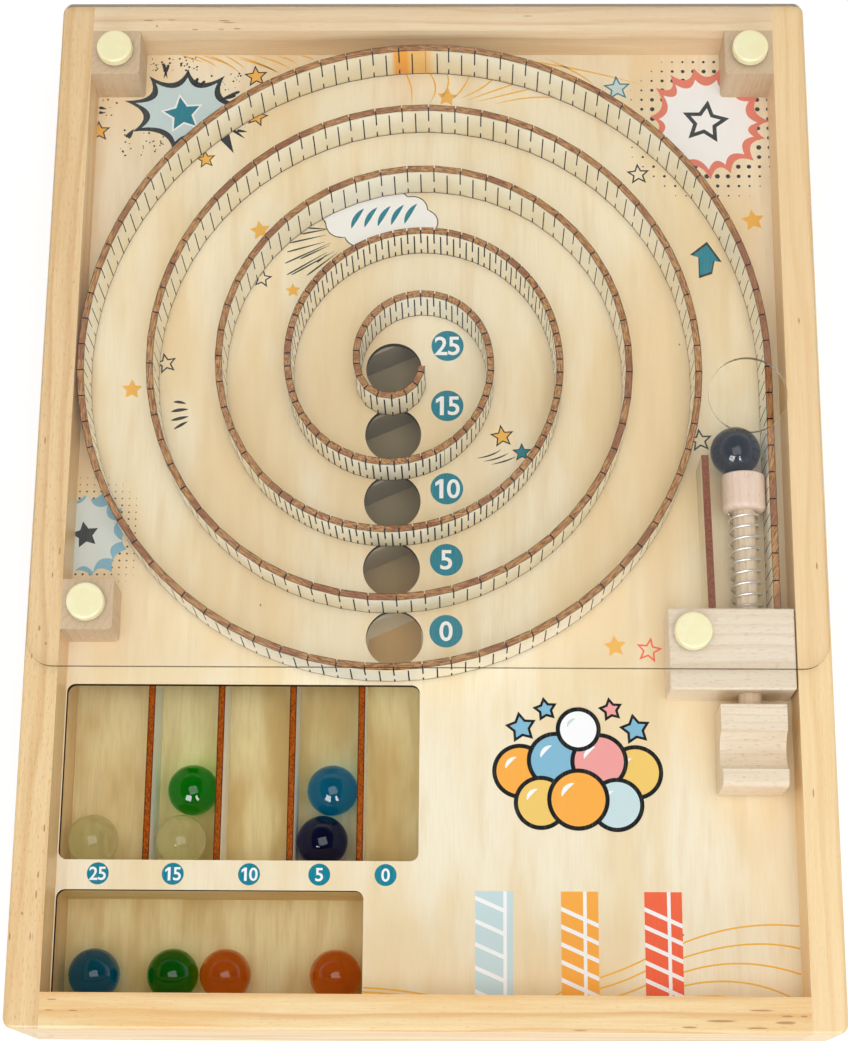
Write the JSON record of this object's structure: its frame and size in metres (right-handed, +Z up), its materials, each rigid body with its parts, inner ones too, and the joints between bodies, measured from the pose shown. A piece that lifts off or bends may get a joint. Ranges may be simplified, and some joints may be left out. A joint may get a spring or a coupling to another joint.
{
  "type": "tabletop bagatelle game",
  "caption": "Shallow pine box with a spiral marble track, sprung plunger, holes that feed numbered score lanes, a marble tray and a clear cover.",
  "frame": {"origin": "middle of the box's underside", "axes": "+X to the plunger's side, +Y from the player's end to the far end, +Z up out of the playfield"},
  "size_m": [0.28, 0.38, 0.0574],
  "materials": {
    "pine": "planed, clear lacquer",
    "plywood": "sanded birch plywood",
    "printed_plywood": "lacquered plywood with printed motifs",
    "laser_cut_plywood": "bare birch plywood, scorched cut edges",
    "beech": "sanded beech",
    "spring_wire": "bright drawn wire",
    "clear_acrylic": "clear polished acrylic sheet",
    "cream_plastic": "moulded cream plastic",
    "zinc_steel": "zinc plated",
    "glass_clear": "polished clear glass",
    "glass_green": "polished green glass",
    "glass_blue": "polished blue glass",
    "glass_navy": "polished dark blue glass",
    "glass_orange": "polished orange glass"
  },
  "bodies": {
    "board": {"back_rail": "pine", "base_panel": "plywood", "channel_back_wall": "laser_cut_plywood", "channel_side_wall": "laser_cut_plywood", "clear_cover": "clear_acrylic", "cover_screws": "zinc_steel", "deck_batten": "pine", "front_rail": "pine", "lane_divider_1": "laser_cut_plywood", "lane_divider_2": "laser_cut_plywood", "lane_divider_3": "laser_cut_plywood", "lane_divider_4": "laser_cut_plywood", "left_rail": "pine", "playfield_panel": "printed_plywood", "plunger_block": "beech", "plunger_guide": "laser_cut_plywood", "plunger_spring": "spring_wire", "post_back_left": "beech", "post_back_right": "beech", "post_front_left": "beech", "right_rail": "pine", "screw_cap_1": "cream_plastic", "screw_cap_2": "cream_plastic", "screw_cap_3": "cream_plastic", "screw_cap_4": "cream_plastic", "spiral_strip_1": "laser_cut_plywood", "spiral_strip_2": "laser_cut_plywood", "spiral_strip_3": "laser_cut_plywood", "spiral_strip_4": "laser_cut_plywood", "spiral_strip_5": "laser_cut_plywood", "spiral_strip_6": "laser_cut_plywood", "storage_end_wall": "plywood", "tray_bar": "plywood", "tray_deck": "plywood"},
    "plunger": {"plunger_rod": "beech", "plunger_head": "beech", "plunger_handle": "beech"},
    "marble_score_25_body": {"marble_score_25": "glass_clear"},
    "marble_score_15_front_body": {"marble_score_15_front": "glass_clear"},
    "marble_score_15_rear_body": {"marble_score_15_rear": "glass_green"},
    "marble_score_5_front_body": {"marble_score_5_front": "glass_navy"},
    "marble_score_5_rear_body": {"marble_score_5_rear": "glass_blue"},
    "marble_store_one_body": {"marble_store_one": "glass_blue"},
    "marble_store_two_body": {"marble_store_two": "glass_green"},
    "marble_store_three_body": {"marble_store_three": "glass_orange"},
    "marble_store_four_body": {"marble_store_four": "glass_orange"},
    "marble_launch_body": {"marble_launch": "glass_navy"}
  },
  "joints": [
    {"name": "plunger_slide", "type": "slide", "parent": "board", "child": "plunger", "axis": [0, -1, 0], "range_m": [0, 0.022], "stiffness_N_per_m": 150, "deforming": ["plunger_spring"]},
    {"name": "roll_score_25", "type": "slide", "parent": "board", "child": "marble_score_25_body", "axis": [0, 0.9997, 0.0244], "range_m": [0, 0.09]},
    {"name": "roll_score_15_rear", "type": "slide", "parent": "board", "child": "marble_score_15_rear_body", "axis": [0, 0.9997, 0.0244], "range_m": [0, 0.06]},
    {"name": "roll_score_15_front", "type": "slide", "parent": "board", "child": "marble_score_15_front_body", "axis": [0, 0.9997, 0.0244], "range_m": [0, 0.06]},
    {"name": "roll_score_5_rear", "type": "slide", "parent": "board", "child": "marble_score_5_rear_body", "axis": [0, 0.9997, 0.0244], "range_m": [0, 0.05]},
    {"name": "roll_score_5_front", "type": "slide", "parent": "board", "child": "marble_score_5_front_body", "axis": [0, 0.9997, 0.0244], "range_m": [0, 0.05]},
    {"name": "roll_store_one", "type": "slide", "parent": "board", "child": "marble_store_one_body", "axis": [0, 0.9997, 0.0244], "range_m": [0, 0.017]},
    {"name": "roll_store_two", "type": "slide", "parent": "board", "child": "marble_store_two_body", "axis": [0, 0.9997, 0.0244], "range_m": [0, 0.017]},
    {"name": "roll_store_three", "type": "slide", "parent": "board", "child": "marble_store_three_body", "axis": [0, 0.9997, 0.0244], "range_m": [0, 0.017]},
    {"name": "roll_store_four", "type": "slide", "parent": "board", "child": "marble_store_four_body", "axis": [0, 0.9997, 0.0244], "range_m": [0, 0.017]},
    {"name": "roll_launch", "type": "slide", "parent": "board", "child": "marble_launch_body", "axis": [0, 1, 0], "range_m": [0, 0.045]}
  ],
  "couplings": [
    {"joint": "roll_score_15_front", "follows": "roll_score_15_rear", "ratio": 1},
    {"joint": "roll_score_5_front", "follows": "roll_score_5_rear", "ratio": 1}
  ]
}
